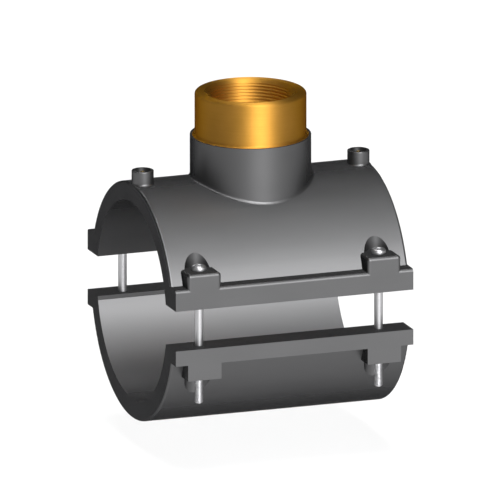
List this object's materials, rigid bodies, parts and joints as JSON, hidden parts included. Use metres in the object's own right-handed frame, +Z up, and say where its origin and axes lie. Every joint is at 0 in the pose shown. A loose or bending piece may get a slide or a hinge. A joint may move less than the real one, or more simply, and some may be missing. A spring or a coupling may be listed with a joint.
{
  "type": "branch outlet fitting",
  "caption": "Clamp-on branch saddle for a plastic pipe: an upper shell with a round collar and threaded metal outlet, and a lower shell drawn up to it by long screws.",
  "frame": {"origin": "where the axis of the clamped pipe meets the axis of the branch", "axes": "+X along the pipe, +Y towards the back of the fitting, +Z up the branch"},
  "size_m": [0.1746, 0.1784, 0.226],
  "materials": {
    "shell": "glossy black polyethylene",
    "insert": "turned brass",
    "seal": "matte black rubber",
    "wire": "bright copper alloy",
    "pin": "bright brass",
    "screw": "bright stainless steel",
    "nut": "bright stainless steel"
  },
  "bodies": {
    "saddle_top": {"upper_saddle": "shell", "threaded_insert": "insert", "upper_insert_seal": "seal", "lower_insert_seal": "seal", "heating_wire": "wire", "left_terminal_pin": "pin", "right_terminal_pin": "pin"},
    "saddle_bottom": {"lower_saddle": "shell", "front_left_nut": "nut", "front_right_nut": "nut", "back_left_nut": "nut", "back_right_nut": "nut"},
    "front_left_screw": {"front_left_screw": "screw"},
    "front_right_screw": {"front_right_screw": "screw"},
    "back_left_screw": {"back_left_screw": "screw"},
    "back_right_screw": {"back_right_screw": "screw"}
  },
  "joints": [
    {"name": "lower_shell_travel", "type": "slide", "parent": "saddle_top", "child": "saddle_bottom", "axis": [0, 0, -1], "range_m": [0, 0.019]},
    {"name": "front_left_screw_turn", "type": "hinge", "parent": "saddle_top", "child": "front_left_screw", "pos_m": [-0.066, -0.0772, 0.0392], "axis": [0, 0, 1], "range_deg": [0, 6841]},
    {"name": "front_right_screw_turn", "type": "hinge", "parent": "saddle_top", "child": "front_right_screw", "pos_m": [0.066, -0.0772, 0.0392], "axis": [0, 0, 1], "range_deg": [0, 6841]},
    {"name": "back_left_screw_turn", "type": "hinge", "parent": "saddle_top", "child": "back_left_screw", "pos_m": [-0.066, 0.0772, 0.0392], "axis": [0, 0, 1], "range_deg": [0, 6841]},
    {"name": "back_right_screw_turn", "type": "hinge", "parent": "saddle_top", "child": "back_right_screw", "pos_m": [0.066, 0.0772, 0.0392], "axis": [0, 0, 1], "range_deg": [0, 6841]}
  ],
  "couplings": [
    {"joint": "front_left_screw_turn", "follows": "lower_shell_travel", "rad_per_m": 6283.2},
    {"joint": "front_right_screw_turn", "follows": "lower_shell_travel", "rad_per_m": 6283.2},
    {"joint": "back_left_screw_turn", "follows": "lower_shell_travel", "rad_per_m": 6283.2},
    {"joint": "back_right_screw_turn", "follows": "lower_shell_travel", "rad_per_m": 6283.2}
  ]
}
